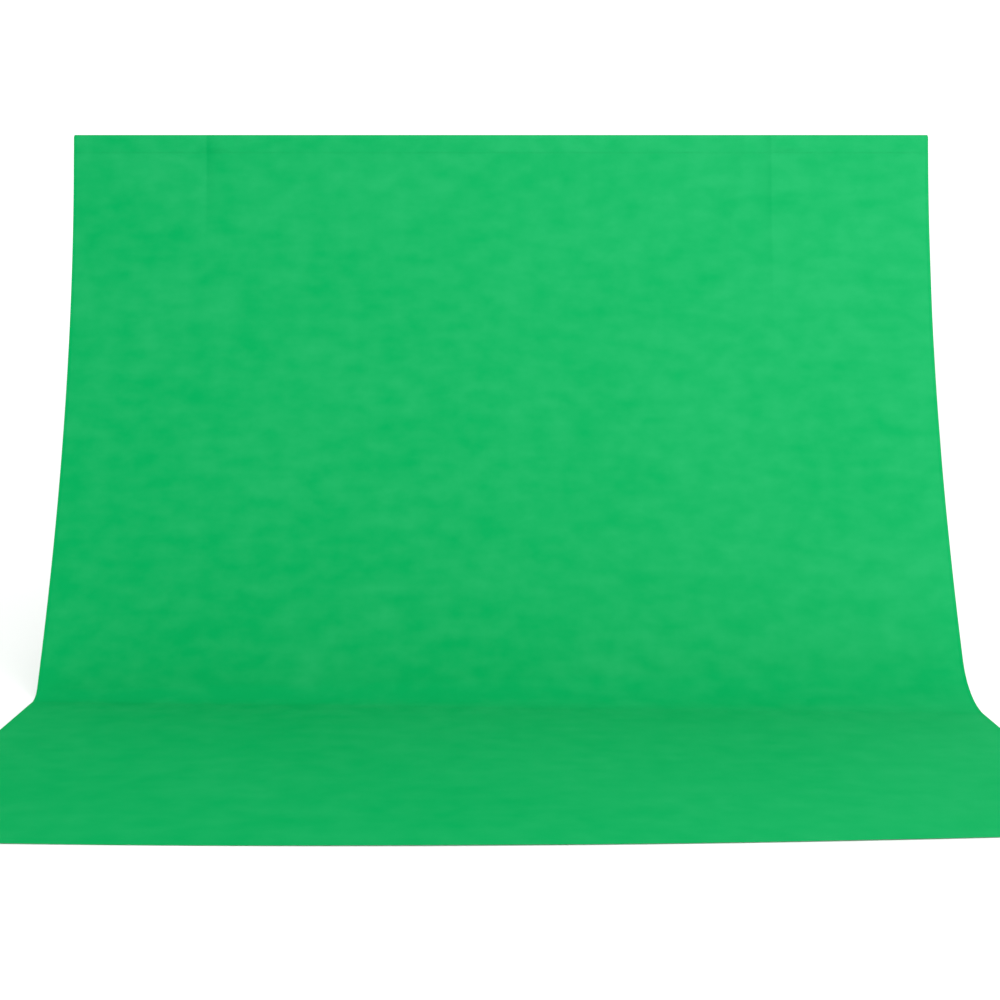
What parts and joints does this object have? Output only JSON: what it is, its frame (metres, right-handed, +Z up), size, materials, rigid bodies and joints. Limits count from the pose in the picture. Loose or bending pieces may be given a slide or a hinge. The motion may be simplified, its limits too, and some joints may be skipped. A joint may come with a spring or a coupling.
{
  "type": "background support system",
  "caption": "Telescopic tripod stands hold a plug-together crossbar through the pole pocket of a green cloth that hangs, turns through a cove and lies on the floor.",
  "frame": {"origin": "on the floor under the middle of the object's bounding box", "axes": "+Z up; the cloth's front faces -Y, and +X runs along the crossbar to the right as seen from the front"},
  "size_m": [3, 1.9218, 1.867],
  "materials": {
    "green_cloth": "matte woven cloth",
    "black_tube": "satin black coated aluminium",
    "silver_bar": "satin anodised",
    "cast_plastic": "fine-grained moulding",
    "knob_plastic": "satin moulding",
    "foot_rubber": "matte rubber",
    "bright_steel": "bright plated steel"
  },
  "bodies": {
    "left_base": {"left_lower_tube": "black_tube", "left_base_collar": "cast_plastic", "left_lower_clamp": "cast_plastic", "backdrop_sheet": "green_cloth"},
    "left_mid": {"left_mid_tube": "black_tube", "left_mid_clamp": "cast_plastic"},
    "crossbar": {"left_upper_tube": "black_tube", "left_spigot": "bright_steel", "left_cradle": "cast_plastic", "right_upper_tube": "black_tube", "right_spigot": "bright_steel", "right_cradle": "cast_plastic", "crossbar_section_1": "silver_bar", "crossbar_section_2": "silver_bar", "crossbar_section_3": "silver_bar", "crossbar_section_4": "silver_bar", "crossbar_cap_left": "cast_plastic", "crossbar_cap_right": "cast_plastic", "pole_pocket": "green_cloth"},
    "right_mid": {"right_mid_tube": "black_tube", "right_mid_clamp": "cast_plastic"},
    "right_base": {"right_lower_tube": "black_tube", "right_base_collar": "cast_plastic", "right_lower_clamp": "cast_plastic"},
    "left_collar": {"left_leg_collar": "cast_plastic"},
    "left_leg_back": {"left_leg_back": "black_tube", "left_foot_back": "foot_rubber"},
    "left_brace_back": {"left_brace_back": "bright_steel"},
    "left_leg_outer": {"left_leg_outer": "black_tube", "left_foot_outer": "foot_rubber"},
    "left_brace_outer": {"left_brace_outer": "bright_steel"},
    "left_leg_inner": {"left_leg_inner": "black_tube", "left_foot_inner": "foot_rubber"},
    "left_brace_inner": {"left_brace_inner": "bright_steel"},
    "left_lower_knob": {"left_lower_knob": "knob_plastic"},
    "left_mid_knob": {"left_mid_knob": "knob_plastic"},
    "left_collar_knob": {"left_collar_knob": "knob_plastic"},
    "left_cradle_knob": {"left_cradle_knob": "knob_plastic"},
    "right_collar": {"right_leg_collar": "cast_plastic"},
    "right_leg_back": {"right_leg_back": "black_tube", "right_foot_back": "foot_rubber"},
    "right_brace_back": {"right_brace_back": "bright_steel"},
    "right_leg_outer": {"right_leg_outer": "black_tube", "right_foot_outer": "foot_rubber"},
    "right_brace_outer": {"right_brace_outer": "bright_steel"},
    "right_leg_inner": {"right_leg_inner": "black_tube", "right_foot_inner": "foot_rubber"},
    "right_brace_inner": {"right_brace_inner": "bright_steel"},
    "right_lower_knob": {"right_lower_knob": "knob_plastic"},
    "right_mid_knob": {"right_mid_knob": "knob_plastic"},
    "right_collar_knob": {"right_collar_knob": "knob_plastic"},
    "right_cradle_knob": {"right_cradle_knob": "knob_plastic"},
    "spring_button_1": {"spring_button_1": "bright_steel"},
    "spring_button_2": {"spring_button_2": "bright_steel"},
    "spring_button_3": {"spring_button_3": "bright_steel"}
  },
  "joints": [
    {"name": "height", "type": "slide", "parent": "left_base", "child": "left_mid", "axis": [0, 0, 1], "range_m": [-0.5, 0], "deforming": ["backdrop_sheet"]},
    {"name": "left_upper_slide", "type": "slide", "parent": "left_mid", "child": "crossbar", "axis": [0, 0, 1], "range_m": [-0.5, 0]},
    {"name": "right_upper_slide", "type": "slide", "parent": "crossbar", "child": "right_mid", "axis": [0, 0, 1], "range_m": [0, 0.5]},
    {"name": "right_lower_slide", "type": "slide", "parent": "right_mid", "child": "right_base", "axis": [0, 0, 1], "range_m": [0, 0.5]},
    {"name": "left_fold", "type": "slide", "parent": "left_base", "child": "left_collar", "axis": [0, 0, 1], "range_m": [0, 0.2597]},
    {"name": "left_leg_back_hinge", "type": "hinge", "parent": "left_collar", "child": "left_leg_back", "pos_m": [-1, 0.59607, 0.35355], "axis": [-1, 0, 0], "range_deg": [0, 45.1]},
    {"name": "left_brace_back_hinge", "type": "hinge", "parent": "left_base", "child": "left_brace_back", "pos_m": [-1, 0.59607, 0.0964], "axis": [-1, 0, 0], "range_deg": [-78.12, 0]},
    {"name": "left_leg_outer_hinge", "type": "hinge", "parent": "left_collar", "child": "left_leg_outer", "pos_m": [-1.02598, 0.55107, 0.35355], "axis": [0.5, -0.866, 0], "range_deg": [0, 45.1]},
    {"name": "left_brace_outer_hinge", "type": "hinge", "parent": "left_base", "child": "left_brace_outer", "pos_m": [-1.02598, 0.55107, 0.0964], "axis": [0.5, -0.866, 0], "range_deg": [-78.12, 0]},
    {"name": "left_leg_inner_hinge", "type": "hinge", "parent": "left_collar", "child": "left_leg_inner", "pos_m": [-0.97402, 0.55107, 0.35355], "axis": [0.5, 0.866, 0], "range_deg": [0, 45.1]},
    {"name": "left_brace_inner_hinge", "type": "hinge", "parent": "left_base", "child": "left_brace_inner", "pos_m": [-0.97402, 0.55107, 0.0964], "axis": [0.5, 0.866, 0], "range_deg": [-78.12, 0]},
    {"name": "left_lower_knob_turn", "type": "hinge", "parent": "left_base", "child": "left_lower_knob", "pos_m": [-1, 0.56607, 0.717], "axis": [0, 1, 0], "range_deg": [0, 270]},
    {"name": "left_mid_knob_turn", "type": "hinge", "parent": "left_mid", "child": "left_mid_knob", "pos_m": [-1, 0.56607, 1.264], "axis": [0, 1, 0], "range_deg": [0, 270]},
    {"name": "left_collar_knob_turn", "type": "hinge", "parent": "left_collar", "child": "left_collar_knob", "pos_m": [-1, 0.56607, 0.35555], "axis": [-0.866, 0.5, 0], "range_deg": [0, 270]},
    {"name": "left_cradle_knob_turn", "type": "hinge", "parent": "crossbar", "child": "left_cradle_knob", "pos_m": [-1, 0.56607, 1.8516], "axis": [0, 1, 0], "range_deg": [0, 270]},
    {"name": "right_fold", "type": "slide", "parent": "right_base", "child": "right_collar", "axis": [0, 0, 1], "range_m": [0, 0.2597]},
    {"name": "right_leg_back_hinge", "type": "hinge", "parent": "right_collar", "child": "right_leg_back", "pos_m": [1, 0.59607, 0.35355], "axis": [-1, 0, 0], "range_deg": [0, 45.1]},
    {"name": "right_brace_back_hinge", "type": "hinge", "parent": "right_base", "child": "right_brace_back", "pos_m": [1, 0.59607, 0.0964], "axis": [-1, 0, 0], "range_deg": [-78.12, 0]},
    {"name": "right_leg_outer_hinge", "type": "hinge", "parent": "right_collar", "child": "right_leg_outer", "pos_m": [1.02598, 0.55107, 0.35355], "axis": [0.5, 0.866, 0], "range_deg": [0, 45.1]},
    {"name": "right_brace_outer_hinge", "type": "hinge", "parent": "right_base", "child": "right_brace_outer", "pos_m": [1.02598, 0.55107, 0.0964], "axis": [0.5, 0.866, 0], "range_deg": [-78.12, 0]},
    {"name": "right_leg_inner_hinge", "type": "hinge", "parent": "right_collar", "child": "right_leg_inner", "pos_m": [0.97402, 0.55107, 0.35355], "axis": [0.5, -0.866, 0], "range_deg": [0, 45.1]},
    {"name": "right_brace_inner_hinge", "type": "hinge", "parent": "right_base", "child": "right_brace_inner", "pos_m": [0.97402, 0.55107, 0.0964], "axis": [0.5, -0.866, 0], "range_deg": [-78.12, 0]},
    {"name": "right_lower_knob_turn", "type": "hinge", "parent": "right_base", "child": "right_lower_knob", "pos_m": [1, 0.56607, 0.717], "axis": [0, 1, 0], "range_deg": [0, 270]},
    {"name": "right_mid_knob_turn", "type": "hinge", "parent": "right_mid", "child": "right_mid_knob", "pos_m": [1, 0.56607, 1.264], "axis": [0, 1, 0], "range_deg": [0, 270]},
    {"name": "right_collar_knob_turn", "type": "hinge", "parent": "right_collar", "child": "right_collar_knob", "pos_m": [1, 0.56607, 0.35555], "axis": [0.866, 0.5, 0], "range_deg": [0, 270]},
    {"name": "right_cradle_knob_turn", "type": "hinge", "parent": "crossbar", "child": "right_cradle_knob", "pos_m": [1, 0.56607, 1.8516], "axis": [0, 1, 0], "range_deg": [0, 270]},
    {"name": "spring_button_1_press", "type": "slide", "parent": "crossbar", "child": "spring_button_1", "axis": [0, -1, 0], "range_m": [0, 0.0035], "stiffness_N_per_m": 800},
    {"name": "spring_button_2_press", "type": "slide", "parent": "crossbar", "child": "spring_button_2", "axis": [0, -1, 0], "range_m": [0, 0.0035], "stiffness_N_per_m": 800},
    {"name": "spring_button_3_press", "type": "slide", "parent": "crossbar", "child": "spring_button_3", "axis": [0, -1, 0], "range_m": [0, 0.0035], "stiffness_N_per_m": 800}
  ],
  "couplings": [
    {"joint": "left_upper_slide", "follows": "height", "ratio": 1},
    {"joint": "right_upper_slide", "follows": "height", "ratio": -1},
    {"joint": "right_lower_slide", "follows": "height", "ratio": -1},
    {"joint": "left_leg_back_hinge", "follows": "left_fold", "rad_per_m": 3.0242},
    {"joint": "left_brace_back_hinge", "follows": "left_fold", "rad_per_m": -5.2432},
    {"joint": "left_leg_outer_hinge", "follows": "left_fold", "rad_per_m": 3.0242},
    {"joint": "left_brace_outer_hinge", "follows": "left_fold", "rad_per_m": -5.2432},
    {"joint": "left_leg_inner_hinge", "follows": "left_fold", "rad_per_m": 3.0242},
    {"joint": "left_brace_inner_hinge", "follows": "left_fold", "rad_per_m": -5.2432},
    {"joint": "right_leg_back_hinge", "follows": "right_fold", "rad_per_m": 3.0242},
    {"joint": "right_brace_back_hinge", "follows": "right_fold", "rad_per_m": -5.2432},
    {"joint": "right_leg_outer_hinge", "follows": "right_fold", "rad_per_m": 3.0242},
    {"joint": "right_brace_outer_hinge", "follows": "right_fold", "rad_per_m": -5.2432},
    {"joint": "right_leg_inner_hinge", "follows": "right_fold", "rad_per_m": 3.0242},
    {"joint": "right_brace_inner_hinge", "follows": "right_fold", "rad_per_m": -5.2432}
  ]
}
